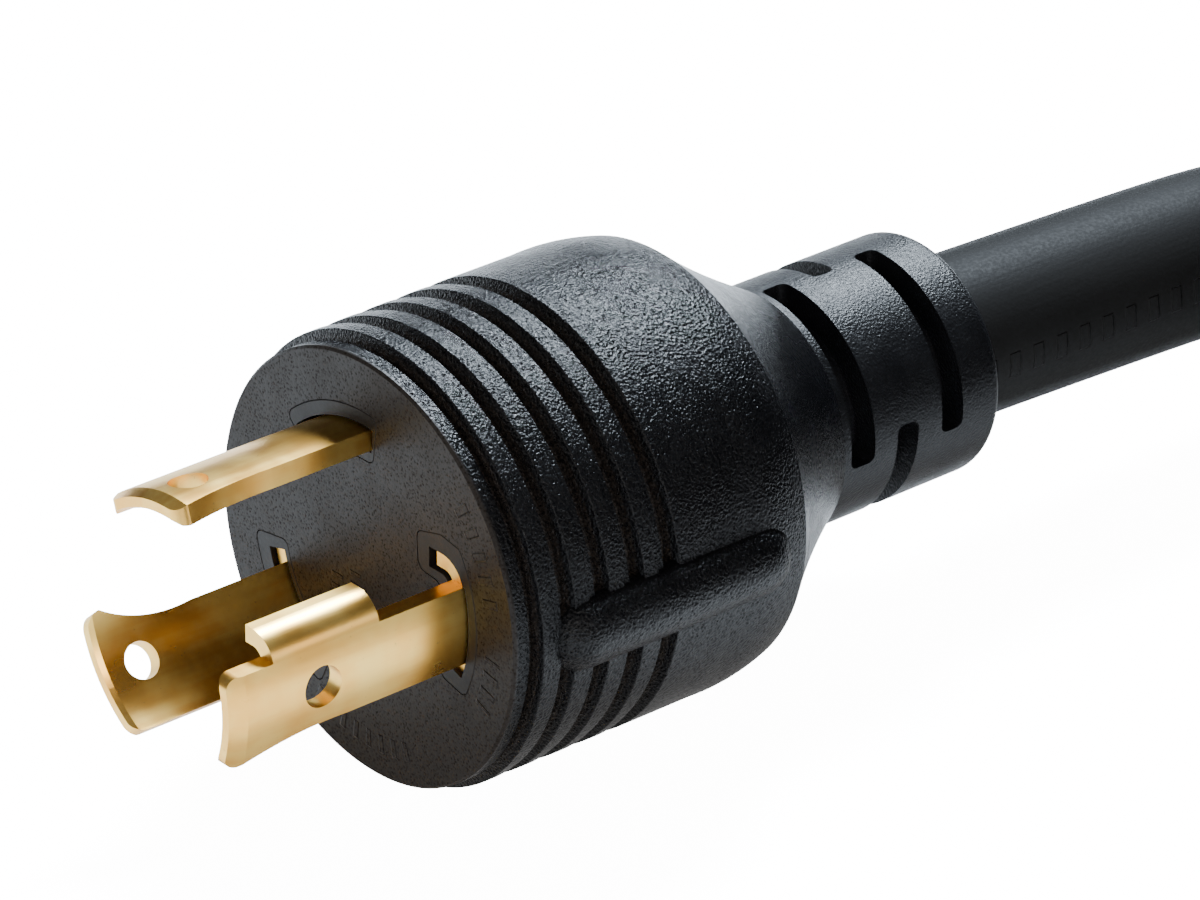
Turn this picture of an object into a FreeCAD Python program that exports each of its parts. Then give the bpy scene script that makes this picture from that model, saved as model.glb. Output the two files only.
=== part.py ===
"""Shore power cord: a moulded 30 A locking plug, a thick rubber cable and, at its far end, a locking
connector with a threaded ring. The cable's spare length is wound into a strapped coil.

The plug lies on the ground with its axis along X, its blades toward -X and its cable toward +X.
The origin is under the middle of the plug, on the ground. Both ends of the cord are designed in a
frame of their own: Z is the axis, 0 is the front face and +Z runs back to the cable. A Placement
then turns that frame so that its X, Y and Z lie along the world's Y, Z and X.
"""
import FreeCAD, Part

import math
import os

import Sketcher

V = FreeCAD.Vector
ALONG_X = FreeCAD.Rotation(V(1, 1, 1), 120)
QUARTER_Y = FreeCAD.Rotation(V(0, 1, 0), 90)

# name, millimetres or degrees, what it is
DIMENSIONS = [
    ("face_radius", 21.0, "flat front face of the plug"),
    ("rim_radius", 21.25, "front rim, just behind the face"),
    ("rim_length", 1.7, "length of the rim"),
    ("rib_radius", 22.05, "top of the foremost grip rib"),
    ("rib_front", 2.75, "front edge of the foremost rib"),
    ("rib_back", 4.2, "rear edge of the foremost rib"),
    ("rib_pitch", 4.05, "from one rib to the next"),
    ("rib_count", 4, "ribs round the grip"),
    ("step_depth", 0.3, "step from a rib down to its ledge"),
    ("step_length", 0.75, "length of a rib's ledge"),
    ("groove_depth", 1.45, "depth of a grip groove"),
    ("body_radius", 22.2, "widest part of the plug"),
    ("body_front", 19.0, "where the plain part of the body starts"),
    ("shoulder_front", 27.5, "where the body starts to round over"),
    ("crease_radius", 21.45, "edge between the shoulder and the cone"),
    ("crease_depth", 34.6, "distance of that edge behind the face"),
    ("cone_radius", 12.55, "rear rim of the cone"),
    ("cone_depth", 47.5, "distance of the rear rim behind the face"),
    ("edge_round", 0.14, "rounding of the moulded edges"),
    ("bar_radius", 3.9, "radius of the raised bars"),
    ("bar_reach", 20.1, "distance of a bar's centre from the axis"),
    ("bar_front", 8.0, "front end of a bar's centre line"),
    ("bar_back", 28.8, "rear end of a bar's centre line"),
    ("bar_turn", 1.2, "angle of the bars above the level"),
    ("skin", 2.0, "overmould in front of the blade carrier"),
    ("carrier_radius", 18.6, "blade carrier"),
    ("carrier_back", 8.0, "rear face of the blade carrier"),
    ("mold_radius", 18.0, "inner mould around the terminals"),
    ("mold_shoulder", 30.0, "where the inner mould starts to narrow"),
    ("mold_back", 43.0, "rear face of the inner mould"),
    ("island_corner", 0.9, "rounding of the islands' corners"),
    ("island_chamfer", 0.13, "chamfer that draws the parting line round an island"),
    ("slot_inner", 12.4, "inner edge of the recess round a blade"),
    ("slot_outer", 14.75, "outer edge of the recess round a blade"),
    ("slot_depth", 2.4, "depth of that recess"),
    ("blade_inner", 12.8, "inner surface of the blades"),
    ("blade_outer", 14.5, "outer surface of the blades"),
    ("blade_reach", 22.2, "line blades in front of the face"),
    ("ground_reach", 26.5, "ground blade in front of the face"),
    ("blade_root", 12.0, "blades behind the face"),
    ("shoulder_start", 0.5, "where a blade's hidden shoulders begin"),
    ("tip_corner", 1.3, "rounding of a blade's corners at the tip"),
    ("tip_bevel", 0.5, "depth of the outer bevel at a blade's tip"),
    ("tip_break", 0.25, "depth of the inner bevel at a blade's tip"),
    ("foot_front", 21.4, "front end of the ground blade's foot"),
    ("foot_back", 9.5, "rear end of the foot"),
    ("foot_inner", 10.0, "inner end of the foot from the axis"),
    ("foot_bend", 3.0, "outer bend radius of the foot"),
    ("foot_angle", 16.3, "angle at which the foot leaves the blade's curve"),
    ("palm_width", 3.6, "flat of a crimp terminal"),
    ("barrel_radius", 2.5, "barrel of a crimp terminal"),
    ("barrel_reach", 10.1, "distance of the barrels from the axis"),
    ("barrel_front", 14.0, "front end of the barrels"),
    ("barrel_length", 7.0, "length of the barrels"),
    ("wire_bend", 25.0, "where the wires turn in toward the cable"),
    ("core_radius", 1.5, "copper strands of one wire"),
    ("wire_radius", 2.3, "insulation of one wire"),
    ("lay_radius", 2.67, "distance of the wires from the cable's centre"),
    ("filler_radius", 5.1, "inside of the cable's jacket"),
    ("cable_radius", 8.3, "outside of the cable's jacket"),
    ("jacket_front", 38.0, "where the jacket is stripped inside the plug"),
    ("cable_gap", 0.55, "gap inside the relief between the cable's end and its first bend"),
    ("collar_radius", 11.0, "hidden collar that holds the strain relief"),
    ("collar_length", 2.2, "length of that collar"),
    ("neck_radius", 9.8, "neck behind the collar"),
    ("relief_radius", 12.2, "strain relief"),
    ("relief_end", 68.0, "rear end of the strain relief"),
    ("relief_round", 1.1, "rounding of that end"),
    ("vent_floor", 9.3, "bottom of the strain relief's slots"),
    ("vent_corner", 0.8, "rounding of the slots' corners"),
    ("vent_first", 50.1, "first row of slots behind the face"),
    ("vent_pitch", 5.7, "from one row of slots to the next"),
    ("connector_shift", 8.0, "how much longer the connector is than the plug"),
    ("nose_radius", 20.3, "front of the insert, which stands out of the connector"),
    ("nose_length", 11.0, "how far it stands out"),
    ("stop_radius", 23.6, "collar that keeps the ring on the connector"),
    ("stop_length", 3.0, "length of the collar"),
    ("socket_radius", 17.8, "insert with the connector's slots, inside its moulding"),
    ("socket_depth", 27.0, "depth of that insert"),
    ("core_depth", 19.0, "depth of its core, in front of the terminals"),
    ("contact_front", 3.0, "front end of the contacts"),
    ("contact_back", 24.0, "bottom of the contacts' slots"),
    ("slot_ease", 0.35, "room on each side of a blade in its slot"),
    ("slot_spare", 8.0, "angle by which a slot is longer than its blade at each end"),
    ("chamber_ease", 1.1, "room on each side of a blade in the chamber behind its slot"),
    ("contact_leaf", 0.8, "thickness of a contact's leaves"),
    ("gasket_radius", 24.3, "outside of the sealing gasket"),
    ("gasket_length", 1.6, "thickness of the gasket"),
    ("ring_radius", 28.5, "outside of the locking ring"),
    ("ring_bore", 25.6, "inside of the locking ring"),
    ("ring_lip", 22.5, "inner edge of the ring's rear lip"),
    ("ring_front", 7.0, "how far the ring stands in front of the connector"),
    ("ring_back", 18.2, "rear face of the ring"),
    ("lip_length", 3.8, "thickness of the ring's rear lip"),
    ("thread_depth", 0.7, "depth of the ring's thread"),
    ("thread_pitch", 3.2, "pitch of the ring's thread"),
    ("knurl_radius", 1.5, "flutes round the ring"),
    ("knurl_count", 24, "number of flutes"),
    ("coil_x", 180.0, "centre of the coil along X"),
    ("coil_radius", 99.0, "middle of the coil's turns"),
    ("coil_pitch", 16.8, "from one turn to the next"),
    ("coil_columns", 3, "turns side by side"),
    ("coil_rows", 4, "turns one on the other"),
    ("strap_thickness", 1.3, "hook and loop strap"),
    ("strap_angle", 13.0, "width of a strap round the coil's centre"),
    ("coil_round", 7.0, "rounding of the coil's edges"),
]

# Angles round an end's own axis: where each blade sits and half its width. Then its widening at the
# tip, the angle, place and radius of its hole, the length of its outer bevel, the width of its hidden
# shoulders, how far its recess reaches on each side, its wire's place in the cable, and the outline
# of its island in the face.
BLADES = {
    "neutral": {
        "angle": 72.5, "half": 20.5, "flare": 0.6, "hole": (7.5, 17.9, 1.85), "bevel": 1.2,
        "shoulders": (0.5, 0.1), "recess": (4.0, 2.4), "lay": 66.0,
        "island": (-26.5, 24.8, 11.2, 16.2),
    },
    "hot": {
        "angle": -41.7, "half": 19.3, "flare": 2.05, "hole": (5.9, 17.9, 1.8), "bevel": 1.0,
        "shoulders": (0.1, 1.7), "recess": (2.0, 8.5), "lay": -54.0,
        "island": (-23.3, 33.2, 11.7, 16.6),
    },
    "ground": {
        "angle": 180.25, "half": 15.75, "flare": 1.46, "hole": (0.0, 16.3, 2.05), "bevel": 1.8,
        "shoulders": (0.2, 1.2), "recess": (0.0, 6.0), "lay": 186.0, "island": None,
    },
}

# The ground blade's island follows its hooked section: corners, and an arc's middle before a corner.
GROUND_ISLAND = [
    (7.48, -6.59),
    (7.62, -7.27),
    (10.92, -8.19),
    (13.59, -7.71),
    (14.7, 6.3, 15.96, -0.71),
    (14.26, 7.29),
    (10.71, 6.45),
    (11.13, -2.52),
    (10.27, -3.15),
    (8.13, -3.3),
    (7.58, -4.07),
]

# How much of its shorter run each bend of a wire takes: it lies straight where the jacket begins.
WIRE_BENDS = (0.35, 0.2)

# Rows of slots round the strain relief: width, half the angle they span, where the first one sits.
VENTS = [(3.0, 51.3, 136.4), (2.7, 47.6, 223.0), (2.7, 51.3, 136.4)]

# The cable's route outside its ends, chosen by hand: from the plug down to the coil, and from the
# top of the coil down to the connector.
LEAD_ROUTE = [
    (47.25, 0.0, 22.2),
    (70.0, 0.0, 21.4),
    (93.0, 0.0, 20.2),
    (115.5, 0.0, 15.1),
    (137.5, 0.0, 10.7),
    (159.0, 0.0, 9.85),
    (180.0, 0.0, 9.7),
]
TAIL_ROUTE = [
    (180.0, -231.6, 60.1),
    (154.0, -231.6, 60.4),
    (128.0, -231.6, 56.2),
    (104.0, -231.6, 46.4),
    (82.0, -231.6, 36.4),
    (60.0, -231.6, 29.8),
    (38.0, -231.6, 28.5),
]

FACE_X = "-(dims.relief_end - dims.ground_reach) / 2"
CONNECTOR_X = "38 - dims.relief_end - dims.connector_shift"
COIL_Y = "-(dims.coil_radius + (dims.coil_columns - 1) / 2 * dims.coil_pitch)"

doc = FreeCAD.newDocument("shore_power_cord")
sheet = doc.addObject("Spreadsheet::Sheet", "dims")
nodes = []


# ---------------------------------------------------------------- helpers


def fill_sheet():
    for row, (alias, value, note) in enumerate(DIMENSIONS, start=1):
        sheet.set(f"A{row}", alias)
        sheet.set(f"B{row}", str(value))
        sheet.set(f"C{row}", note)
        sheet.setAlias(f"B{row}", alias)
    doc.recompute()


def number(text):
    return float(sheet.evalExpression(str(text)))


def sizes(text):
    """Names of the sheet, written bare, become references to it."""
    words = {alias for alias, _, _ in DIMENSIONS}
    out = ""
    word = ""
    for letter in str(text) + " ":
        if letter.isalnum() or letter == "_":
            word += letter
            continue
        out += ("dims." + word if word in words else word) + letter
        word = ""
    return out.strip()


def primitive(kind, name, at=("0", "0", "0"), turn=None, **properties):
    """A Part primitive whose sizes and place are bound to the sheet."""
    solid = doc.addObject("Part::" + kind, name)
    for key, text in properties.items():
        solid.setExpression(key, sizes(text))
    if turn is not None:
        solid.Placement = FreeCAD.Placement(V(), turn)
    for axis, text in zip("xyz", at):
        solid.setExpression(".Placement.Base." + axis, sizes(text))
    return solid


def join(name, shapes):
    fused = doc.addObject("Part::MultiFuse", name)
    fused.Shapes = shapes
    return fused


def cut(name, base, tools):
    tool = tools[0] if len(tools) == 1 else join(name + "_tools", tools)
    result = doc.addObject("Part::Cut", name)
    result.Base = base
    result.Tool = tool
    return result


def common(name, first, second):
    result = doc.addObject("Part::MultiCommon", name)
    result.Shapes = [first, second]
    return result


def turned_about_axis(name, shape, degrees):
    """A copy of a shape, turned about the end's own axis."""
    copy = doc.addObject("Part::Refine", name)
    copy.Source = shape
    copy.Placement = FreeCAD.Placement(V(), FreeCAD.Rotation(V(0, 0, 1), degrees))
    return copy


def publish(label, shape, place):
    """The finished sub-part: a refined copy of a shape, put in its place."""
    node = doc.addObject("Part::Refine", "node_" + label)
    node.Source = shape
    node.Label = label
    node.Placement = FreeCAD.Placement(V(), place["turn"])
    for axis, text in zip("xyz", place["at"]):
        node.setExpression(".Placement.Base." + axis, sizes(text))
    nodes.append(node)
    return node


def origin_plane(body, role):
    return next(f for f in body.Origin.OriginFeatures if f.Role == role)


def new_sketch(body, name, role="XZ_Plane"):
    sketch = body.newObject("Sketcher::SketchObject", name)
    sketch.AttachmentSupport = [(origin_plane(body, role), "")]
    sketch.MapMode = "FlatFace"
    return sketch


def pin(sketch, geometry, end, place):
    for kind, text in zip(("DistanceX", "DistanceY"), place):
        row = sketch.addConstraint(
            Sketcher.Constraint(kind, -1, 1, geometry, end, number(sizes(text)))
        )
        sketch.setExpression(f"Constraints[{row}]", sizes(text))


def outline(sketch, steps):
    """A closed outline. A step is a corner, or a corner and the point that the arc to it passes."""
    places = [[number(sizes(text)) for text in step] for step in steps]
    ends = []
    for index, place in enumerate(places):
        following = places[(index + 1) % len(places)]
        start, stop = V(*place[:2], 0), V(*following[:2], 0)
        if len(following) == 2:
            ends.append((sketch.addGeometry(Part.LineSegment(start, stop)), 1, 2))
            continue
        middle = V(*following[2:], 0)
        anticlockwise = (middle - start).cross(stop - middle).z > 0
        arc = Part.Arc(start, middle, stop) if anticlockwise else Part.Arc(stop, middle, start)
        curve = sketch.addGeometry(arc)
        point = sketch.addGeometry(Part.Point(middle), True)
        pin(sketch, point, 1, steps[(index + 1) % len(steps)][2:])
        sketch.addConstraint(Sketcher.Constraint("PointOnObject", point, 1, curve))
        ends.append((curve, 1, 2) if anticlockwise else (curve, 2, 1))
    for index, step in enumerate(steps):
        before, here = ends[index - 1], ends[index]
        sketch.addConstraint(
            Sketcher.Constraint("Coincident", before[0], before[2], here[0], here[1])
        )
        pin(sketch, here[0], here[1], step[:2])


def turned(name, *outlines):
    """A body made by turning one or more (radius, depth) outlines about the axis."""
    body = doc.addObject("PartDesign::Body", name)
    sketch = new_sketch(body, name + "_profile")
    for steps in outlines:
        outline(sketch, steps)
    solid = body.newObject("PartDesign::Revolution", name + "_turned")
    solid.Profile = (sketch, [""])
    solid.ReferenceAxis = (sketch, ["V_Axis"])
    solid.Angle = 360
    doc.recompute()
    return body


def tube(name, outer, inner, front, back):
    steps = [(inner, front), (outer, front), (outer, back), (inner, back)]
    return turned(name, steps)


def grooved(body, name, steps, count, pitch):
    """Cuts an outline turned about the axis, and repeats it along the axis."""
    sketch = new_sketch(body, name + "_profile")
    outline(sketch, steps)
    before = body.Shape.Volume
    groove = body.newObject("PartDesign::Groove", name)
    groove.Profile = (sketch, [""])
    groove.ReferenceAxis = (sketch, ["V_Axis"])
    groove.Angle = 360
    doc.recompute()
    first = body.Shape.Volume
    pattern = body.newObject("PartDesign::LinearPattern", name + "_row")
    pattern.Originals = [groove]
    pattern.Direction = (sketch, ["V_Axis"])
    pattern.setExpression("Length", sizes(f"({count} - 1) * {pitch}"))
    pattern.setExpression("Occurrences", sizes(count))
    body.Tip = pattern
    doc.recompute()
    if not before > first > body.Shape.Volume:
        raise RuntimeError(name + " cuts nothing")


def round_circles(body, name, radius, front, back, least):
    """Rounds the circular edges between two depths that are at least so large."""
    base = body.Tip
    edges = [
        f"Edge{index}"
        for index, edge in enumerate(base.Shape.Edges, start=1)
        if edge.Curve.TypeId == "Part::GeomCircle"
        and front < edge.CenterOfMass.z < back
        and edge.Curve.Radius > least
    ]
    fillet = body.newObject("PartDesign::Fillet", name)
    fillet.Base = (base, edges)
    fillet.setExpression("Radius", sizes(radius))
    doc.recompute()


def sector(name, inner, outer, front, back, half):
    """Part of a tube, centred on the X direction of the end's own frame."""
    turn = FreeCAD.Rotation(V(0, 0, 1), -number(sizes(half)))
    span = f"2 * ({half})"
    height = f"({back}) - ({front})"
    at = ("0", "0", front)
    whole = primitive(
        "Cylinder", name + "_outer", at, turn, Radius=outer, Height=height, Angle=span
    )
    hollow = primitive("Cylinder", name + "_inner", at, turn, Radius=inner, Height=height)
    return cut(name, whole, [hollow])


def rounded_path(points, shares):
    """Straight runs joined by tangent arcs. Each takes its share of the shorter of its two runs."""
    corners = [V(*point) for point in points]
    radii, edges, start = [], [], corners[0]
    for before, corner, after, share in zip(corners, corners[1:], corners[2:], shares):
        back, ahead = (before - corner).normalize(), (after - corner).normalize()
        turn = math.pi - back.getAngle(ahead)
        reach = share * min((before - corner).Length, (after - corner).Length)
        radius = reach / math.tan(turn / 2)
        radii.append(radius)
        enter, leave = corner + back * reach, corner + ahead * reach
        toward_middle = (back + ahead).normalize()
        middle = corner + toward_middle * (radius / math.cos(turn / 2) - radius)
        edges += [Part.LineSegment(start, enter).toShape(), Part.Arc(enter, middle, leave).toShape()]
        start = leave
    edges.append(Part.LineSegment(start, corners[-1]).toShape())
    return Part.Wire(edges), radii


def swept(name, points, radius, shares):
    """A round rod along a rounded path."""
    wire, radii = rounded_path(points, shares)
    start, ahead = V(*points[0]), (V(*points[1]) - V(*points[0])).normalize()
    disc = Part.Wire(Part.makeCircle(radius, start, ahead))
    rod = doc.addObject("Part::Feature", name)
    rod.Shape = wire.makePipeShell([disc], True, False)
    return rod, wire, radii


# ---------------------------------------------------------------- blades


def blade_outline(name, blade, reach):
    """The flat outline of a blade seen from outside, as a block that cuts it out of a tube."""
    side = f"(blade_outer * sin({blade['half']}))"
    wide = f"({side} + {blade['flare']})"
    tip = f"(-{reach})"
    third = "0.293 * tip_corner"
    low, high = blade["shoulders"]
    body = doc.addObject("PartDesign::Body", name)
    sketch = new_sketch(body, name + "_sketch", "YZ_Plane")
    outline(
        sketch,
        [
            (f"-{side}", f"{tip} + tip_corner"),
            (f"tip_corner - {side}", tip, f"{third} - {side}", f"{tip} + {third}"),
            (f"{wide} - tip_corner", tip),
            (wide, f"{tip} + tip_corner", f"{wide} - {third}", f"{tip} + {third}"),
            (side, f"{tip} * 0.5", f"{side} + {blade['flare']} * 0.2", f"{tip} * 0.76"),
            (side, "shoulder_start"),
            (f"{side} + {high}", "shoulder_start"),
            (f"{side} + {high}", "blade_root"),
            (f"-{side} - {low}", "blade_root"),
            (f"-{side} - {low}", "shoulder_start"),
            (f"-{side}", "shoulder_start"),
        ],
    )
    block = body.newObject("PartDesign::Pad", name + "_block")
    block.Profile = (sketch, [""])
    block.setExpression("Length", sizes("blade_outer + 2"))
    return body


def blade_tube(name, blade, reach):
    """A tube as thick as a blade, bevelled at the tip on both sides."""
    return turned(
        name,
        [
            ("blade_inner + tip_break", f"-{reach}"),
            ("blade_outer - tip_bevel", f"-{reach}"),
            ("blade_outer", f"{blade['bevel']} - {reach}"),
            ("blade_outer", "blade_root"),
            ("blade_inner", "blade_root"),
            ("blade_inner", f"2 * tip_break - {reach}"),
        ],
    )


def strip(name, blade, reach):
    """A curved strip: the part of the tube that the flat outline covers."""
    outlined = blade_outline(name + "_outline", blade, reach)
    return common(name + "_strip", blade_tube(name + "_tube", blade, reach), outlined)


def blade_hole(name, blade):
    angle, distance, radius = blade["hole"]
    bore = primitive(
        "Cylinder", name, ("0", "0", f"-{distance}"), QUARTER_Y,
        Radius=radius, Height="blade_outer + 5",
    )
    return turned_about_axis(name + "_turned", bore, angle)


def foot_piece(name, front, back, spare="0", end="0"):
    """The ground blade's long edge, bent over toward the axis, between two depths.

    A recess for it is the same piece with some room on its inner side and at its end.
    """
    height = f"(({back}) - ({front}))"
    reach = "(blade_outer - foot_bend)"
    bend_x = f"({reach} * cos(foot_angle))"
    bend_y = f"(-{reach} * sin(foot_angle))"
    thick = f"(blade_outer - blade_inner + {spare})"
    at = (bend_x, bend_y, front)
    quarter = FreeCAD.Rotation(V(0, 0, 1), -90)
    outer = primitive(
        "Cylinder", name + "_bend", at, quarter,
        Radius="foot_bend", Height=height, Angle="97 - foot_angle",
    )
    inner = primitive(
        "Cylinder", name + "_inside", at, Radius=f"foot_bend - {thick}", Height=height
    )
    leg = primitive(
        "Box", name + "_leg", (f"foot_inner - {end}", f"{bend_y} - foot_bend", front),
        Length=f"{bend_x} - foot_inner + {end}", Width=thick, Height=height,
    )
    return [cut(name + "_bent", outer, [inner]), leg]


def line_blade(name, blade):
    return cut(name, strip(name, blade, "blade_reach"), [blade_hole(name + "_hole", blade)])


def ground_blade(name, blade):
    pieces = [strip(name, blade, "ground_reach")]
    pieces += foot_piece(name + "_foot", "-foot_front", "-foot_back")
    pieces += foot_piece(name + "_root", "0.3", "blade_root")
    return cut(name, join(name + "_whole", pieces), [blade_hole(name + "_hole", blade)])


# ---------------------------------------------------------------- openings round the blades


def upright(edge):
    first, last = edge.Vertexes[0].Point, edge.Vertexes[-1].Point
    return abs(first.z - last.z) > 0.5


def island_outline(blade):
    if blade["island"] is None:
        return GROUND_ISLAND
    low, high, inner, outer = blade["island"]
    middle = (low + high) / 2

    def at(radius, angle):
        return (f"{radius} * cos({angle})", f"{radius} * sin({angle})")

    return [
        (*at(inner, low), *at(inner, middle)),
        at(outer, low),
        (*at(outer, high), *at(outer, middle)),
        at(inner, high),
    ]


def island(name, blade, chamfered):
    """The end of the carrier that shows in the face round a blade, with rounded corners."""
    body = doc.addObject("PartDesign::Body", name)
    sketch = new_sketch(body, name + "_sketch", "XY_Plane")
    outline(sketch, island_outline(blade))
    block = body.newObject("PartDesign::Pad", name + "_block")
    block.Profile = (sketch, [""])
    block.setExpression("Length", sizes("skin + 1"))
    doc.recompute()
    tall = [f"Edge{i}" for i, edge in enumerate(block.Shape.Edges, 1) if upright(edge)]
    rounded = body.newObject("PartDesign::Fillet", name + "_corners")
    rounded.Base = (block, tall)
    rounded.setExpression("Radius", sizes("island_corner"))
    doc.recompute()
    if chamfered:
        rim = [
            f"Edge{i}"
            for i, edge in enumerate(rounded.Shape.Edges, 1)
            if not upright(edge) and edge.CenterOfMass.z < 0.01
        ]
        line = body.newObject("PartDesign::Chamfer", name + "_line")
        line.Base = (rounded, rim)
        line.setExpression("Size", sizes("island_chamfer"))
        doc.recompute()
    return turned_about_axis(name + "_turned", body, blade["angle"])


def recess(name, blade, hooked):
    """The recess that leaves a dark gap round a blade at the face."""
    before, after = blade["recess"]
    half = blade["half"] + (before + after) / 2
    ring = sector(name + "_ring", "slot_inner", "slot_outer", "-1", "slot_depth", f"{half}")
    ring = turned_about_axis(name + "_shifted", ring, (after - before) / 2)
    pieces = [ring]
    if hooked:
        pieces += foot_piece(name + "_foot", "-1", "slot_depth", "0.35", "0.75")
    whole = join(name + "_pieces", pieces) if hooked else ring
    return turned_about_axis(name + "_turned", whole, blade["angle"])


def each_blade(mirrored=False):
    """Each blade's name, angles and whether it is hooked. A socket is its plug's mirror image."""
    side = -1 if mirrored else 1
    for key, blade in BLADES.items():
        placed = {**blade, "angle": side * blade["angle"], "lay": side * blade["lay"]}
        yield key, placed, key == "ground"


# ---------------------------------------------------------------- the cable's end inside a moulding


def crimp(name, shift, drop, ahead):
    """A crimp terminal: a barrel round the strands and a flat palm ahead of it against the metal."""
    front = f"(barrel_front + {shift})"
    barrel = primitive(
        "Cylinder", name + "_barrel", (f"barrel_reach - {drop}", "0", front),
        Radius="barrel_radius", Height="barrel_length",
    )
    palm = primitive(
        "Box", name + "_palm",
        (f"blade_inner - {drop} - 1.2", "-palm_width / 2", f"{front} - {ahead}"),
        Length="1", Width="palm_width", Height=f"{ahead} + 1.5",
    )
    hollow = primitive(
        "Cylinder", name + "_hollow", (f"barrel_reach - {drop}", "0", f"{front} + 0.6"),
        Radius="core_radius", Height="barrel_length",
    )
    return join(name + "_solid", [barrel, palm]), hollow


def wire_points(blade, shift, drop, start, stop):
    """From a terminal, in to the wire's place in the cable, and along it."""
    def place(reach, angle, depth):
        turn = math.radians(angle)
        return (reach * math.cos(turn), reach * math.sin(turn), depth)

    reach, lay = number("dims.barrel_reach") - drop, number("dims.lay_radius")
    return [
        place(reach, blade["angle"], start),
        place(reach, blade["angle"], number("dims.wire_bend") + shift),
        place(lay, blade["lay"], number("dims.jacket_front") + shift - 1.5),
        place(lay, blade["lay"], stop),
    ]


def wiring(prefix, place, shift, mirrored=False):
    """Terminals, wires, filler and jacket of one end. Returns what the inner mould is cut with.

    The connector's terminals lie under its contacts' inner leaves, a leaf nearer the axis.
    """
    cutters, insulations = [], []
    drop = number("dims.contact_leaf") if mirrored else 0
    ahead = 2.8 if mirrored else 5.5
    terminal_front = number("dims.barrel_front") + shift
    stop = number("dims.relief_end") + shift - number("dims.cable_gap")
    for key, blade, _ in each_blade(mirrored):
        solid, hollow = crimp(f"{prefix}_{key}_crimp", shift, drop, ahead)
        open_crimp = cut(f"{prefix}_{key}_crimp_open", solid, [hollow])
        placed = turned_about_axis(f"{prefix}_{key}_crimp_placed", open_crimp, blade["angle"])
        publish(f"{prefix}_{key}_terminal", placed, place)
        cutters.append(
            turned_about_axis(f"{prefix}_{key}_crimp_turned", solid, blade["angle"])
        )
        core_points = wire_points(blade, shift, drop, terminal_front + 0.6, stop)
        core, _, _ = swept(
            f"{prefix}_{key}_strands", core_points, number("dims.core_radius"), WIRE_BENDS
        )
        cover_front = terminal_front + number("dims.barrel_length")
        points = wire_points(blade, shift, drop, cover_front, stop)
        whole, _, _ = swept(
            f"{prefix}_{key}_cover", points, number("dims.wire_radius"), WIRE_BENDS
        )
        publish(f"{prefix}_{key}_conductor", core, place)
        cover = cut(f"{prefix}_{key}_sleeve", whole, [core])
        publish(f"{prefix}_{key}_insulation", cover, place)
        cutters.append(whole)
        insulations.append(whole)
    front, back = f"(jacket_front + {shift})", f"{stop}"
    core = primitive(
        "Cylinder", prefix + "_fill", ("0", "0", front),
        Radius="filler_radius", Height=f"{back} - {front}",
    )
    filled = cut(prefix + "_filling", core, insulations)
    publish(prefix + "_cable_filler", filled, place)
    jacket = tube(prefix + "_jacket", "cable_radius", "filler_radius", front, back)
    publish(prefix + "_cable_jacket", jacket, place)
    cutters.append(
        primitive(
            "Cylinder", prefix + "_jacket_space", ("0", "0", front),
            Radius="cable_radius", Height=f"{back} - {front}",
        )
    )
    return cutters


def inner_mould(prefix, place, shift, front, cutters, nose=()):
    steps = [
        *(nose or [("0", front)]),
        ("mold_radius", front),
        ("mold_radius", f"mold_shoulder + {shift}"),
        ("collar_radius", f"mold_back + {shift}"),
        ("0", f"mold_back + {shift}"),
    ]
    solid = turned(prefix + "_mould", steps)
    publish(prefix + "_inner_mould", cut(prefix + "_mould_open", solid, cutters), place)


def vent(name, depth, width, half, degrees):
    """A slot with rounded corners, part of the way round the strain relief."""
    inset = f"({width} / 2 - vent_corner)"
    corner_angle = math.degrees(number("dims.vent_corner") / number("dims.relief_radius"))
    inner, outer = "vent_floor", "relief_radius + 1"
    pieces = [
        sector(name + "_long", inner, outer, f"{depth} - {inset}", f"{depth} + {inset}", f"{half}"),
        sector(
            name + "_wide", inner, outer, f"{depth} - {width} / 2", f"{depth} + {width} / 2",
            f"{half - corner_angle}",
        ),
    ]
    core = primitive(
        "Cylinder", name + "_core", ("0", "0", f"{depth} - {width}"),
        Radius="vent_floor", Height=f"2 * {width}",
    )
    for index, (side, sign) in enumerate(((-1, "-"), (1, "-"), (-1, "+"), (1, "+"))):
        corner = primitive(
            "Cylinder", f"{name}_corner{index}", ("0", "0", f"{depth} {sign} {inset}"), QUARTER_Y,
            Radius="vent_corner", Height="relief_radius + 1",
        )
        corner = cut(f"{name}_corner{index}_outside", corner, [core])
        angle = side * (half - corner_angle)
        pieces.append(turned_about_axis(f"{name}_corner{index}_turned", corner, angle))
    return turned_about_axis(name, join(name + "_pieces", pieces), degrees)


def strain_relief(prefix, place, shift):
    """Slotted sleeve on the cable. Its rows of slots are staggered, so it bends every way."""
    end, root = f"(relief_end + {shift})", f"(mold_back + {shift})"
    rim = f"(cone_depth + {shift} + 0.02)"
    steps = [
        ("cable_radius", root),
        ("collar_radius", root),
        ("collar_radius", f"{root} + collar_length"),
        ("neck_radius", f"{root} + collar_length"),
        ("neck_radius", rim),
        ("relief_radius", rim),
        ("relief_radius", f"{end} - relief_round"),
        (
            "relief_radius - relief_round", end,
            "relief_radius - 0.293 * relief_round", f"{end} - 0.293 * relief_round",
        ),
        ("cable_radius", end),
    ]
    sleeve = turned(prefix + "_relief", steps)
    slots = []
    for row, (width, half, middle) in enumerate(VENTS):
        depth = f"(vent_first + {shift} + {row} * vent_pitch)"
        for side in (0, 180):
            name = f"{prefix}_vent{row}_{side}"
            slots.append(vent(name, depth, width, half, middle + side))
    publish(prefix + "_strain_relief", cut(prefix + "_relief_slotted", sleeve, slots), place)


# ---------------------------------------------------------------- the mouldings' outside


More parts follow.
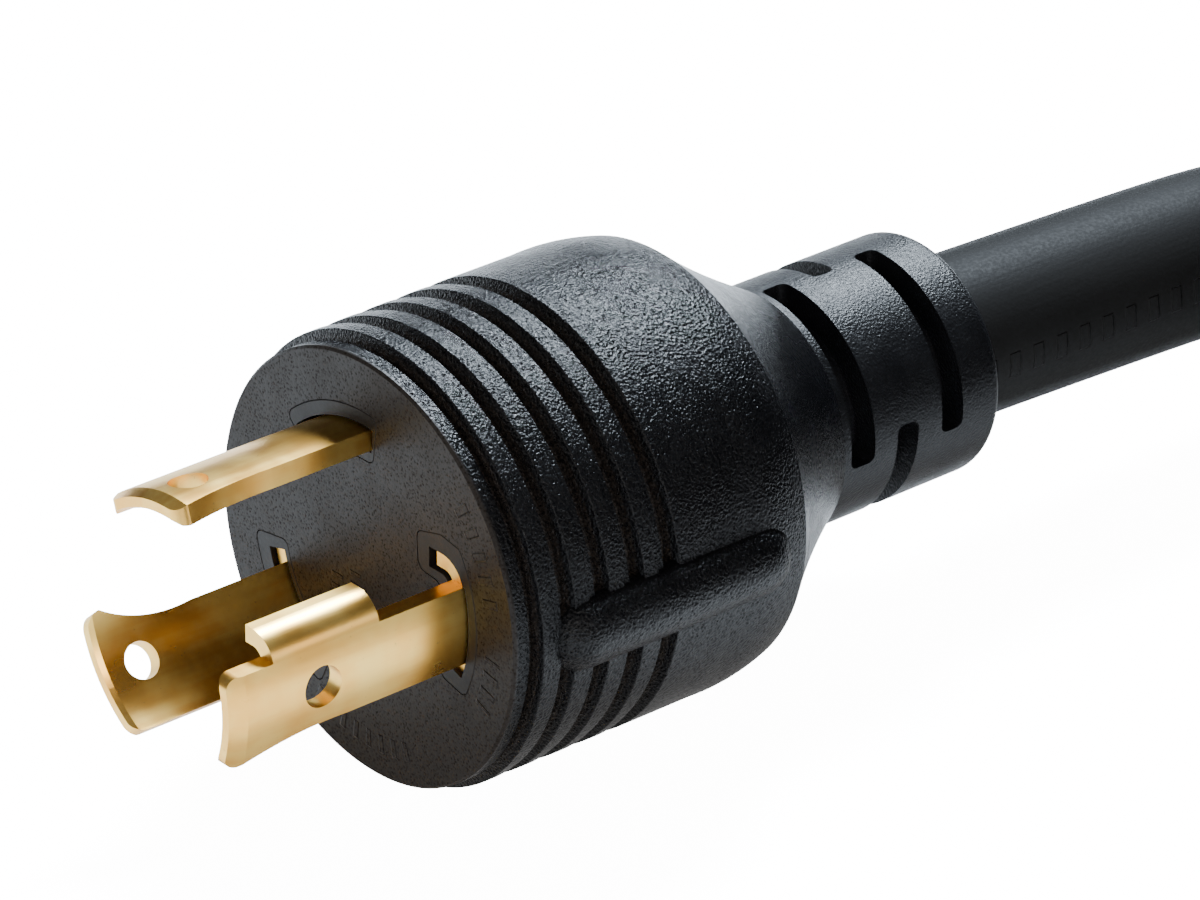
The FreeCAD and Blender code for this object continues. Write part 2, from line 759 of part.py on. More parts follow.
def back_steps(shift, last_radius="0"):
    """The outline from the plain body over the shoulder and down the cone."""
    crease = f"(crease_depth + {shift})"
    rim = f"(cone_depth + {shift})"
    return [
        ("body_radius", f"shoulder_front + {shift}"),
        (
            "crease_radius", crease,
            "body_radius - 0.14", f"(shoulder_front + crease_depth) / 2 + {shift} + 0.6",
        ),
        (
            "cone_radius", rim,
            "(crease_radius + cone_radius) / 2 - 0.28", f"({crease} + {rim}) / 2 - 0.25",
        ),
        (last_radius, rim),
    ]


def rib_groove(start):
    """The cut between two ribs: a low step, a ledge, and a groove with a round-cornered floor."""
    floor = "body_radius - groove_depth"
    return [
        ("body_radius + 2", start),
        ("body_radius - step_depth", f"{start} + 0.05"),
        ("body_radius - step_depth", f"{start} + step_length"),
        (floor, f"{start} + step_length + 0.25"),
        (floor, f"{start} + step_length + 1.1"),
        ("body_radius", f"{start} + step_length + 1.7"),
        ("body_radius + 2", f"{start} + step_length + 1.7"),
    ]


def bars(prefix):
    """The two raised bars with round ends, one each side of the plug."""
    pieces = []
    for side in (0, 180):
        name = f"{prefix}_bar{side}"
        stem = primitive(
            "Cylinder", name + "_stem", ("bar_reach", "0", "bar_front"),
            Radius="bar_radius", Height="bar_back - bar_front",
        )
        ends = [
            primitive("Sphere", f"{name}_{end}", ("bar_reach", "0", end), Radius="bar_radius")
            for end in ("bar_front", "bar_back")
        ]
        whole = join(name + "_whole", [stem, *ends])
        turn = number("dims.bar_turn") + side
        pieces.append(turned_about_axis(name, whole, turn))
    return pieces


def cavity(prefix, shift, front, front_radius):
    """The space that a moulding leaves for its inner mould and the root of the strain relief."""
    mould, root = f"(mold_shoulder + {shift})", f"(mold_back + {shift})"
    return turned(
        prefix + "_cavity",
        [
            ("0", front),
            (front_radius, front),
            (front_radius, "carrier_back" if shift == 0 else "socket_depth"),
            ("mold_radius", "carrier_back" if shift == 0 else "socket_depth"),
            ("mold_radius", mould),
            ("collar_radius", root),
            ("collar_radius", f"{root} + collar_length"),
            ("neck_radius", f"{root} + collar_length"),
            ("neck_radius", f"cone_depth + {shift} + 1"),
            ("0", f"cone_depth + {shift} + 1"),
        ],
    )


def plug_body(place):
    shell = turned(
        "plug_shell",
        [
            ("0", "0"),
            ("face_radius", "0"),
            ("rim_radius", "0.25"),
            ("rim_radius", "rim_length"),
            ("rim_radius - 0.75", "rim_length + 0.3"),
            ("rim_radius - 0.75", "rib_front - 0.3"),
            ("rib_radius", "rib_front"),
            ("body_radius", "body_front"),
            *back_steps(0),
        ],
    )
    grooved(shell, "grip_groove", rib_groove("rib_back"), "rib_count", "rib_pitch")
    edge = number("dims.rib_radius") - 0.1
    round_circles(shell, "grip_round", "edge_round", 2.0, number("dims.body_front") - 0.1, edge)
    solid = join("plug_moulding", [shell, *bars("plug")])
    openings = [cavity("plug", 0, "skin", "carrier_radius")]
    for key, blade, _ in each_blade():
        openings.append(island(f"{key}_window", blade, chamfered=False))
    publish("plug_body", cut("plug_body_open", solid, openings), place)


def blade_carrier(place):
    """The rigid disc that holds the blades. Its islands come through the face, level with it."""
    disc = turned(
        "carrier_disc",
        [("0", "skin"), ("carrier_radius", "skin"), ("carrier_radius", "carrier_back"),
         ("0", "carrier_back")],
    )
    pieces, openings = [disc], []
    for key, blade, hooked in each_blade():
        pieces.append(island(f"{key}_island", blade, chamfered=True))
        openings.append(recess(f"{key}_recess", blade, hooked))
    return join("carrier_solid", pieces), openings


def plug(place):
    blades = {}
    for key, blade, hooked in each_blade():
        make = ground_blade if hooked else line_blade
        blades[key] = make(f"{key}_blade_shape", blade)
        blades[key] = turned_about_axis(f"{key}_blade_turned", blades[key], blade["angle"])
        publish(f"{key}_blade", blades[key], place)
    carrier, openings = blade_carrier(place)
    publish("blade_carrier", cut("carrier_open", carrier, openings + list(blades.values())), place)
    cutters = wiring("plug", place, 0)
    inner_mould("plug", place, 0, "carrier_back", cutters + list(blades.values()))
    strain_relief("plug", place, 0)
    plug_body(place)


# ---------------------------------------------------------------- the connector


def contact(name, blade):
    """A spring contact: two leaves that a blade slides between, joined at the back."""
    half = f"{blade['half'] - 5}"
    leaf_in = sector(
        name + "_leaf_in", "blade_inner - contact_leaf", "blade_inner - 0.02",
        "contact_front", "contact_back", half,
    )
    leaf_out = sector(
        name + "_leaf_out", "blade_outer + 0.02", "blade_outer + contact_leaf",
        "contact_front", "contact_back", half,
    )
    web = sector(
        name + "_web", "blade_inner - contact_leaf", "blade_outer + contact_leaf",
        "contact_back", "contact_back + 1.2", half,
    )
    tail = primitive(
        "Box", name + "_tail", ("blade_inner - 0.2", "-palm_width / 2", "contact_back + 0.6"),
        Length="0.9", Width="palm_width", Height="5",
    )
    return join(name, [leaf_in, leaf_out, web, tail])


def slot_span(blade):
    """A slot is as long as its blade and the turn that locks it."""
    return blade["half"] + number("dims.slot_spare")


def web_angles():
    """The middle and half the width of each web between two slots."""
    blades = [blade for _, blade, _ in each_blade(mirrored=True)]
    blades.sort(key=lambda blade: blade["angle"] % 360)
    for blade, following in zip(blades, blades[1:] + blades[:1]):
        start = blade["angle"] % 360 + slot_span(blade)
        stop = following["angle"] % 360 - slot_span(following)
        if stop < start:
            stop += 360
        yield (start + stop) / 2, (stop - start) / 2


def connector_insert(place):
    """Sleeve, core and webs leave three curved slots, with a wider chamber behind each."""
    mouth = ("(blade_inner - slot_ease)", "(blade_outer + slot_ease)")
    chamber = ("(blade_inner - chamber_ease)", "(blade_outer + chamber_ease)")
    sleeve = turned(
        "sleeve",
        [
            (mouth[1], "0"),
            ("nose_radius - 0.5", "0"),
            ("nose_radius", "0.5"),
            ("nose_radius", "nose_length"),
            ("socket_radius", "nose_length"),
            ("socket_radius", "socket_depth"),
            (chamber[1], "socket_depth"),
            (chamber[1], "contact_front"),
            (mouth[1], "contact_front"),
        ],
    )
    publish("connector_socket", sleeve, place)
    core = turned(
        "core",
        [
            ("0", "0"),
            (mouth[0], "0"),
            (mouth[0], "contact_front"),
            (chamber[0], "contact_front"),
            (chamber[0], "core_depth"),
            ("0", "core_depth"),
        ],
    )
    publish("connector_core", core, place)
    webs = []
    for index, (angle, half) in enumerate(web_angles()):
        front = sector(f"web{index}_front", *mouth, "0", "contact_front", f"{half}")
        back = sector(f"web{index}_back", *chamber, "contact_front", "socket_depth", f"{half}")
        web = join(f"web{index}", [front, back])
        webs.append(turned_about_axis(f"web{index}_turned", web, angle))
    publish("connector_webs", join("webs", webs), place)


def contacts(place):
    springs = []
    for key, blade, _ in each_blade(mirrored=True):
        spring = contact(f"{key}_contact_shape", blade)
        spring = turned_about_axis(f"{key}_contact_turned", spring, blade["angle"])
        publish(f"{key}_contact", spring, place)
        springs.append(spring)
    return springs


def connector_body(place):
    shift = number("dims.connector_shift")
    front = number("dims.nose_length + dims.stop_length")
    shell = turned(
        "connector_shell",
        [
            ("0", "nose_length"),
            ("stop_radius", "nose_length"),
            ("stop_radius", "nose_length + stop_length"),
            ("body_radius", "nose_length + stop_length"),
            *back_steps(shift),
        ],
    )
    start = number("dims.ring_back") + 1.6
    grooved(shell, "connector_groove", rib_groove(f"{start}"), "rib_count", "rib_pitch")
    edge = number("dims.rib_radius") - 0.1
    round_circles(shell, "connector_round", "edge_round", front + 1, start + 15.5, edge)
    openings = [cavity("connector", shift, "-1", "socket_radius")]
    publish("connector_body", cut("connector_body_open", shell, openings), place)


def locking_ring(place):
    """The threaded ring that turns on the connector and screws onto an inlet."""
    ring = turned(
        "ring_turned",
        [
            ("ring_bore", "-ring_front"),
            ("ring_radius - 0.8", "-ring_front"),
            ("ring_radius", "0.8 - ring_front"),
            ("ring_radius", "ring_back - 1.2"),
            ("ring_radius - 1.2", "ring_back"),
            ("ring_lip", "ring_back"),
            ("ring_lip", "ring_back - lip_length"),
            ("ring_bore", "ring_back - lip_length"),
        ],
    )
    thread = [
        ("ring_bore - 0.1", "1.2 - ring_front"),
        ("ring_bore", "1.2 - ring_front"),
        ("ring_bore + thread_depth", "2 - ring_front"),
        ("ring_bore + thread_depth", "2.6 - ring_front"),
        ("ring_bore", "3.4 - ring_front"),
        ("ring_bore - 0.1", "3.4 - ring_front"),
    ]
    grooved(ring, "ring_thread", thread, "5", "thread_pitch")
    sketch = new_sketch(ring, "flute_sketch", "XY_Plane")
    circle = sketch.addGeometry(Part.Circle(V(29.2, 0, 0), V(0, 0, 1), 1.5))
    pin(sketch, circle, 3, ("ring_radius + knurl_radius / 2", "0"))
    row = sketch.addConstraint(Sketcher.Constraint("Radius", circle, 1.5))
    sketch.setExpression(f"Constraints[{row}]", sizes("knurl_radius"))
    before = ring.Shape.Volume
    flute = ring.newObject("PartDesign::Pocket", "flute")
    flute.Profile = (sketch, [""])
    flute.Midplane = True
    flute.setExpression("Length", sizes("2 * ring_back - 9"))
    doc.recompute()
    flutes = ring.newObject("PartDesign::PolarPattern", "flutes")
    flutes.Originals = [flute]
    flutes.Axis = (sketch, ["N_Axis"])
    flutes.Angle = 360
    flutes.setExpression("Occurrences", sizes("knurl_count"))
    ring.Tip = flutes
    doc.recompute()
    if ring.Shape.Volume >= before:
        raise RuntimeError("the flutes cut nothing")
    publish("locking_ring", ring, place)


def connector(place):
    shift = number("dims.connector_shift")
    connector_insert(place)
    springs = contacts(place)
    cutters = wiring("connector", place, shift, mirrored=True)
    core_wall = "blade_inner - chamber_ease"
    nose = [("0", "core_depth"), (core_wall, "core_depth"), (core_wall, "socket_depth")]
    inner_mould("connector", place, shift, "socket_depth", cutters + springs, nose)
    strain_relief("connector", place, shift)
    connector_body(place)
    gasket = tube(
        "gasket_tube", "gasket_radius", "nose_radius",
        "nose_length - gasket_length", "nose_length",
    )
    publish("sealing_gasket", gasket, place)
    locking_ring(place)


# ---------------------------------------------------------------- the cable outside its ends


def bundle():
    """Inner and outer radius and lowest and highest level of the coil's bundle of turns."""
    width = "coil_columns * coil_pitch / 2"
    low = "strap_thickness"
    return (
        f"(coil_radius - {width})",
        f"(coil_radius + {width})",
        low,
        f"({low} + coil_rows * coil_pitch)",
    )


def coil(place):
    """The outer shape of the coil, as a ring with rounded edges."""
    inner, outer, low, high = bundle()
    rounding, third = "coil_round", "0.293 * coil_round"
    ring = turned(
        "coil_ring",
        [
            (f"{inner} + {rounding}", low, f"{inner} + {third}", f"{low} + {third}"),
            (f"{outer} - {rounding}", low),
            (outer, f"{low} + {rounding}", f"{outer} - {third}", f"{low} + {third}"),
            (outer, f"{high} - {rounding}"),
            (f"{outer} - {rounding}", high, f"{outer} - {third}", f"{high} - {third}"),
            (f"{inner} + {rounding}", high),
            (inner, f"{high} - {rounding}", f"{inner} + {third}", f"{high} - {third}"),
            (inner, f"{low} + {rounding}"),
        ],
    )
    publish("cord_coil", ring, place)


def strap(name, place, degrees):
    """A hook and loop strap round the whole bundle of turns."""
    inner, outer, low, high = bundle()
    thick = "strap_thickness"
    body = doc.addObject("PartDesign::Body", name + "_body")
    sketch = new_sketch(body, name + "_frame")
    outline(
        sketch,
        [
            (f"{inner} - {thick}", "0"),
            (f"{outer} + {thick}", "0"),
            (f"{outer} + {thick}", f"{high} + {thick}"),
            (f"{inner} - {thick}", f"{high} + {thick}"),
        ],
    )
    outline(sketch, [(inner, low), (outer, low), (outer, high), (inner, high)])
    band = body.newObject("PartDesign::Revolution", name + "_band")
    band.Profile = (sketch, [""])
    band.ReferenceAxis = (sketch, ["V_Axis"])
    band.setExpression("Angle", sizes("strap_angle"))
    doc.recompute()
    publish(name, turned_about_axis(name + "_turned", body, degrees), place)


def run_of_cable(label, points):
    """A plain round rod along a route. Its last stretch lies inside the coil, as the cable does."""
    shares = [0.45] * (len(points) - 2)
    rod, wire, radii = swept(label, points, number("dims.cable_radius"), shares)
    print(label, "arc radii, mm:", [round(radius) for radius in radii])
    section = math.pi * number("dims.cable_radius") ** 2
    print(label, "volume over section times length:", rod.Shape.Volume / (section * wire.Length))
    nodes.append(rod)


def cable():
    level = {"at": ("coil_x", COIL_Y.replace("dims.", ""), "0"), "turn": FreeCAD.Rotation()}
    coil(level)
    strap("coil_strap_1", level, -28.0)
    strap("coil_strap_2", level, 160.0)
    run_of_cable("cord_lead", LEAD_ROUTE)
    run_of_cable("cord_tail", TAIL_ROUTE)


# ---------------------------------------------------------------- the whole


def check(items):
    for item in items:
        if any(word in item.State for word in ("Invalid", "Error")):
            raise RuntimeError(f"{item.Label} failed: {item.State}")
    for node in nodes:
        if node.Shape.isNull() or not node.Shape.isValid():
            raise RuntimeError(f"{node.Label} has no valid shape")
        if not node.Shape.Solids:
            raise RuntimeError(f"{node.Label} is not solid")


def main():
    fill_sheet()
    lying = {"at": (FACE_X.replace("dims.", ""), "0", "body_radius"), "turn": ALONG_X}
    plug(lying)
    beside = {
        "at": (
            CONNECTOR_X.replace("dims.", ""),
            f"2 * ({COIL_Y})".replace("dims.", ""),
            "ring_radius",
        ),
        "turn": ALONG_X,
    }
    connector(beside)
    cable()
    doc.recompute()
    check(doc.Objects)
    os.makedirs("parts", exist_ok=True)
    for node in nodes:
        node.Shape.exportStep(f"parts/{node.Label}.step")
        print(f"{node.Label}: {len(node.Shape.Solids)} solid, {node.Shape.Volume:.1f} mm3")


main()
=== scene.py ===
import math

import bmesh
import bpy
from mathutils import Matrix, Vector


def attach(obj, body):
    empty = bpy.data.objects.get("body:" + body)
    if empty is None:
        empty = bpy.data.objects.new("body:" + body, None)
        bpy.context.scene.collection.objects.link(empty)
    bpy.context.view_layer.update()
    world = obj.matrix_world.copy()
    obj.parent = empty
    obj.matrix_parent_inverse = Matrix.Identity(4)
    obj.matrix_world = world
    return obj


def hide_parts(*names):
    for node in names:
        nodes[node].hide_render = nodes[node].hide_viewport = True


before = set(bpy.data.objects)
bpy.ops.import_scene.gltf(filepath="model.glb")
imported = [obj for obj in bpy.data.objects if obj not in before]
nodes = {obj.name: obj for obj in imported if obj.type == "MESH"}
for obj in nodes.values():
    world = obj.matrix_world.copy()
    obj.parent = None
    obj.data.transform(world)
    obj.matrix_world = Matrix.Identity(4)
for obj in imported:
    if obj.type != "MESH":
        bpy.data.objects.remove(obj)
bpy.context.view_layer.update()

# The two ends of the cord, in metres: where each face is and where its axis runs.
PLUG = {"face": -0.02075, "y": 0.0, "z": 0.0222, "shift": 0.0}
CONNECTOR = {"face": -0.038, "y": -0.2316, "z": 0.0285, "shift": 0.008}
# The cable's radius.
CABLE = 0.0083


# ---------------------------------------------------------------- camera


CAMERA = {
    "azimuth": -40.3,
    "elevation": 27.71,
    "location": (-0.36685, -0.4411, 0.3287),
    "sensor": 36.0,
    "lens": 210.5,
    "near": 0.01,
    "far": 60.0,
}


def make_camera():
    azimuth, elevation = math.radians(CAMERA["azimuth"]), math.radians(CAMERA["elevation"])
    camera = bpy.data.objects.new("camera", bpy.data.cameras.new("camera"))
    bpy.context.collection.objects.link(camera)
    camera.rotation_euler = (math.pi / 2 - elevation, 0.0, azimuth)
    camera.location = CAMERA["location"]
    camera.data.sensor_width = CAMERA["sensor"]
    camera.data.lens = CAMERA["lens"]
    camera.data.clip_start = CAMERA["near"]
    camera.data.clip_end = CAMERA["far"]
    bpy.context.scene.camera = camera


# ---------------------------------------------------------------- cord

# Control points of the cable, from the plug down to the coil, and from the coil to the connector.
LEAD = [
    (0.04725, 0.0, 0.0222),
    (0.0700, 0.0, 0.0214),
    (0.0930, 0.0, 0.0202),
    (0.1155, 0.0, 0.0151),
    (0.1375, 0.0, 0.0107),
    (0.1590, 0.0, 0.00985),
    (0.1800, 0.0, 0.0097),
]
TAIL = [
    (0.1800, -0.2316, 0.0601),
    (0.1540, -0.2316, 0.0604),
    (0.1280, -0.2316, 0.0562),
    (0.1040, -0.2316, 0.0464),
    (0.0820, -0.2316, 0.0364),
    (0.0600, -0.2316, 0.0298),
    (0.0380, -0.2316, 0.0285),
]
COIL = {"x": 0.180, "y": -0.1158, "radius": 0.099, "pitch": 0.0168, "low": 0.0097}
# Each turn's place in the bundle: its column, counted outward, and its layer, counted up.
PLACES = [
    (2, 0), (1, 0), (0, 0), (0, 1), (1, 1), (2, 1),
    (2, 2), (1, 2), (0, 2), (0, 3), (1, 3), (2, 3),
]
STEPS_PER_TURN = 20
TURNS = 11.5
# Angles in degrees: how early the first crossing comes, how much earlier each later one is when it
# goes on the same way or turns off, and how long a crossing takes.
CROSSING = {"first": 25.0, "same_way": 2.0, "other_way": 18.0, "long": 34.0}


def coil_points():
    """Turn after turn, each in its place, with a short crossing from one place to the next."""
    crossings, turned = [], CROSSING["first"]
    for index in range(len(PLACES) - 1):
        if index:
            here = (PLACES[index][0] - PLACES[index - 1][0], PLACES[index][1] - PLACES[index - 1][1])
            ahead = (PLACES[index + 1][0] - PLACES[index][0], PLACES[index + 1][1] - PLACES[index][1])
            turned += CROSSING["same_way"] if here == ahead else CROSSING["other_way"]
        crossings.append((index + 1) * 360.0 - turned)
    step = 360.0 / STEPS_PER_TURN
    outward = 1 / math.cos(math.radians(step / 2))
    points, angle = [], step / 2
    while angle < TURNS * 360.0:
        column, row = PLACES[0]
        for place, following, middle in zip(PLACES, PLACES[1:], crossings):
            share = min(1.0, max(0.0, (angle - middle) / CROSSING["long"] + 0.5))
            share = share * share * (3 - 2 * share)
            column += (following[0] - place[0]) * share
            row += (following[1] - place[1]) * share
        radius = (COIL["radius"] + (column - 1) * COIL["pitch"]) * outward
        turn = math.radians(90.0 - angle)
        points.append(
            (
                COIL["x"] + radius * math.cos(turn),
                COIL["y"] + radius * math.sin(turn),
                COIL["low"] + row * COIL["pitch"],
            )
        )
        angle += step
    return points


def make_cord():
    points = LEAD + coil_points() + TAIL
    curve = bpy.data.curves.new("cord", "CURVE")
    curve.dimensions = "3D"
    spline = curve.splines.new("NURBS")
    spline.points.add(len(points) - 1)
    for control, point in zip(spline.points, points):
        control.co = (*point, 1.0)
        control.radius = CABLE
    spline.order_u = 3
    spline.use_endpoint_u = True
    curve.resolution_u = 8
    curve.bevel_depth = 1.0
    curve.bevel_resolution = 10
    curve.use_fill_caps = True
    cord = bpy.data.objects.new("cord", curve)
    bpy.context.collection.objects.link(cord)
    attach(cord, "cord")
    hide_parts("cord_lead", "cord_coil", "cord_tail")
    on_it = [n for n in nodes if n.startswith("connector_") or n.endswith("_contact")]
    on_it += ["sealing_gasket", "locking_ring"]
    return cord


# ---------------------------------------------------------------- straps

# Thickness and ease in metres, half the width in degrees round the coil.
STRAP = {"thick": 0.0013, "half": 5.9, "ease": 0.0001}
STEPS_ROUND = 160
STEPS_PER_CORNER = 8
# The free end: how many steps it runs each side of the start, and how its tips are rounded.
TAB = {"before": 22, "after": 14, "rounding": 0.006, "width": 0.97, "tip": 0.12}
# Half of the strap's width across, and its thickness up, as shares.
SECTION = [
    (-0.96, 0.0), (-1.0, 0.2), (-1.0, 0.8), (-0.96, 1.0),
    (0.96, 1.0), (1.0, 0.8), (1.0, 0.2), (0.96, 0.0),
]


def round_the_bundle():
    """Points and outward directions once round the bundle of turns, in distance and height."""
    half = (1.0 * COIL["pitch"], 1.5 * COIL["pitch"])
    middle = (COIL["radius"], COIL["low"] + half[1])
    corner = CABLE + STRAP["ease"]
    path = []
    for quarter, (side, level) in enumerate(((1, 1), (-1, 1), (-1, -1), (1, -1))):
        centre = (middle[0] + side * half[0], middle[1] + level * half[1])
        for step in range(STEPS_PER_CORNER + 1):
            turn = math.radians(90.0 * quarter + 90.0 * step / STEPS_PER_CORNER)
            away = (math.cos(turn), math.sin(turn))
            path.append(((centre[0] + corner * away[0], centre[1] + corner * away[1]), away))
    return path


def resampled(path, steps):
    """The same closed path at even distances, so that its quads stay short."""
    path = path + path[:1]
    lengths = [math.dist(a[0], b[0]) for a, b in zip(path, path[1:])]
    total, out, index, passed = sum(lengths), [], 0, 0.0
    for number in range(steps):
        target = total * number / steps
        while passed + lengths[index] < target:
            passed += lengths[index]
            index += 1
        share = (target - passed) / lengths[index]
        (p, m), (q, n) = path[index], path[index + 1]
        away = Vector((m[0] + (n[0] - m[0]) * share, m[1] + (n[1] - m[1]) * share)).normalized()
        out.append(((p[0] + (q[0] - p[0]) * share, p[1] + (q[1] - p[1]) * share), tuple(away)))
    return out, total / steps


def add_band(made, path, middle, lift, widths, closed):
    """A flat band with softened edges along a path. Each width is a share of the full width."""
    rings = []
    for ((distance, height), away), wide in zip(path, widths):
        ring = []
        for across, up in SECTION:
            turn = math.radians(middle + across * wide * STRAP["half"])
            out = lift + up * STRAP["thick"]
            reach, level = distance + away[0] * out, height + away[1] * out
            ring.append(
                made.verts.new(
                    (COIL["x"] + reach * math.cos(turn), COIL["y"] + reach * math.sin(turn), level)
                )
            )
        rings.append(ring)
    pairs = list(zip(rings, rings[1:]))
    if closed:
        pairs.append((rings[-1], rings[0]))
    else:
        made.faces.new(rings[0])
        made.faces.new(list(reversed(rings[-1])))
    for ring, following in pairs:
        for index in range(len(SECTION)):
            after = (index + 1) % len(SECTION)
            made.faces.new((ring[index], following[index], following[after], ring[after]))


def make_strap(name, middle):
    """A hook and loop strap drawn round the bundle, its free end pressed down over the rest."""
    path, step = resampled(round_the_bundle(), STEPS_ROUND)
    made = bmesh.new()
    add_band(made, path, middle, 0.0, [1.0] * len(path), True)
    tab = path[-TAB["before"]:] + path[:TAB["after"]]
    widths = []
    for index in range(len(tab)):
        near = min(index, len(tab) - 1 - index) * step / TAB["rounding"]
        widths.append(TAB["width"] * math.sqrt(max(TAB["tip"], 1 - max(0.0, 1 - near) ** 2)))
    add_band(made, tab, middle, STRAP["thick"], widths, False)
    bmesh.ops.recalc_face_normals(made, faces=made.faces)
    mesh = bpy.data.meshes.new(name)
    made.to_mesh(mesh)
    made.free()
    mesh.polygons.foreach_set("use_smooth", [False] * len(mesh.polygons))
    strap = bpy.data.objects.new(name, mesh)
    bpy.context.collection.objects.link(strap)
    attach(strap, "cord")
    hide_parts("coil_" + name)
    return strap


# ---------------------------------------------------------------- node helpers


class Graph:
    """A material's nodes, added by short calls that return their output socket."""

    def __init__(self, name):
        self.material = bpy.data.materials.new(name)
        self.material.use_nodes = True
        self.tree = self.material.node_tree
        self.shader = self.tree.nodes["Principled BSDF"]

    def node(self, kind, **inputs):
        made = self.tree.nodes.new("ShaderNode" + kind)
        for key, value in inputs.items():
            self.put(made.inputs[key.replace("_", " ")], value)
        return made

    def put(self, socket, value):
        if isinstance(value, bpy.types.NodeSocket):
            self.tree.links.new(value, socket)
        else:
            socket.default_value = value

    def place(self, origin=(0, 0, 0), scale=(1, 1, 1)):
        """Coordinates in the row frame, from an origin, then scaled."""
        coordinates = self.tree.nodes.new("ShaderNodeTexCoord").outputs["Object"]
        moved = self.node("VectorMath")
        moved.operation = "SUBTRACT"
        self.put(moved.inputs[0], coordinates)
        self.put(moved.inputs[1], origin)
        scaled = self.node("VectorMath")
        scaled.operation = "MULTIPLY"
        self.put(scaled.inputs[0], moved.outputs[0])
        self.put(scaled.inputs[1], scale)
        return scaled.outputs[0]

    def maths(self, operation, first, second=0.0):
        made = self.node("Math")
        made.operation = operation
        self.put(made.inputs[0], first)
        self.put(made.inputs[1], second)
        return made.outputs[0]

    def ramp(self, value, low, high, start=0.0, stop=1.0):
        made = self.node("MapRange", Value=value)
        made.interpolation_type = "SMOOTHSTEP"
        for key, number in zip(("From Min", "From Max", "To Min", "To Max"), (low, high, start, stop)):
            made.inputs[key].default_value = number
        return made.outputs["Result"]

    def noise(self, place, scale, detail=2.0, rough=0.5):
        made = self.node("TexNoise", Vector=place, Scale=scale, Detail=detail, Roughness=rough)
        return made.outputs["Fac"]

    def cells(self, place, scale, smooth=0.4):
        made = self.node("TexVoronoi", Vector=place, Scale=scale)
        made.feature = "SMOOTH_F1"
        made.inputs["Smoothness"].default_value = smooth
        return made.outputs["Distance"]

    def mix(self, share, first, second):
        made = self.tree.nodes.new("ShaderNodeMix")
        made.data_type = "RGBA"
        self.put(made.inputs["Factor"], share)
        self.put(made.inputs["A"], first)
        self.put(made.inputs["B"], second)
        return made.outputs["Result"]

    def bump(self, height, distance, strength=1.0, under=None):
        made = self.node("Bump", Height=height)
        made.inputs["Distance"].default_value = distance
        self.put(made.inputs["Strength"], strength)
        if under is not None:
            self.put(made.inputs["Normal"], under)
        return made.outputs["Normal"]

    def finish(self, **inputs):
        for key, value in inputs.items():
            self.put(self.shader.inputs[key.replace("_", " ")], value)
        return self.material


def rgb(red, green, blue):
    return (red, green, blue, 1.0)


def paint(material, *names):
    for name in names:
        for slot in nodes[name].material_slots:
            slot.material = material


# ---------------------------------------------------------------- materials

# Rows of strokes on the face. Round it: inner and outer radius, first and last angle, pitch in
# degrees. Across it: the row's middle, then its lower and upper end.
FACE_ARCS = [
    (0.0168, 0.0186, -112.0, -62.0, 6.0),
    (0.0172, 0.0192, 136.0, 172.0, 7.0),
    (0.0172, 0.0192, -174.0, -156.0, 6.0),
]
FACE_ROWS = [(0.0015, -0.0080, -0.0010), (0.0042, -0.0075, -0.0015)]
ROW_HALF = 0.0008
ROW_PITCH = 0.0012
FACE_EDGE = 0.00006
# Depths behind the face where the grain of the grip starts and where the cone's finer grain starts.
GRIP_GRAIN = (0.0002, 0.0006)
CONE_GRAIN = (0.0340, 0.0356)
# Where the painted warm sheen lies in the grooves: below this radius, between these depths, with this
# soft edge.
GROOVE_RADIUS = (0.0213, 0.0217)
GROOVE_DEPTH = (0.002, 0.0191, 0.0003)
# The strokes along the cable: the side they are on, their height, their stretch and their pitch.
PRINT_SIDE = (-0.0070, -0.0066)
PRINT_HEIGHT = (-0.0006, 0.0019, 0.00008)
PRINT_STRETCH = (0.050, 0.150, 0.0001)
PRINT_PITCH = 0.0031
PRINT_AXIS = (0.0, 0.0, 0.0214)


def around_axis(g, end):
    """Depth behind an end's face, distance from its axis, and the angle round it in degrees."""
    place = g.place((end["face"], end["y"], end["z"]))
    parts = g.node("SeparateXYZ", Vector=place)
    across, up = parts.outputs["Y"], parts.outputs["Z"]
    radius = g.maths(
        "SQRT", g.maths("ADD", g.maths("POWER", across, 2.0), g.maths("POWER", up, 2.0))
    )
    angle = g.maths("MULTIPLY", g.maths("ARCTAN2", up, across), 180 / math.pi)
    return place, parts, radius, angle


def band(g, value, low, high, soft):
    """One between two limits and nothing outside them, with soft edges."""
    rise = g.ramp(value, low - soft, low + soft)
    fall = g.ramp(value, high - soft, high + soft, 1.0, 0.0)
    return g.maths("MULTIPLY", rise, fall)


def strokes(g, value, pitch, share, soft):
    """Evenly spaced strokes along a value."""
    wave = g.maths("PINGPONG", value, pitch / 2)
    return g.ramp(wave, pitch * share / 2 - soft, pitch * share / 2 + soft, 1.0, 0.0)


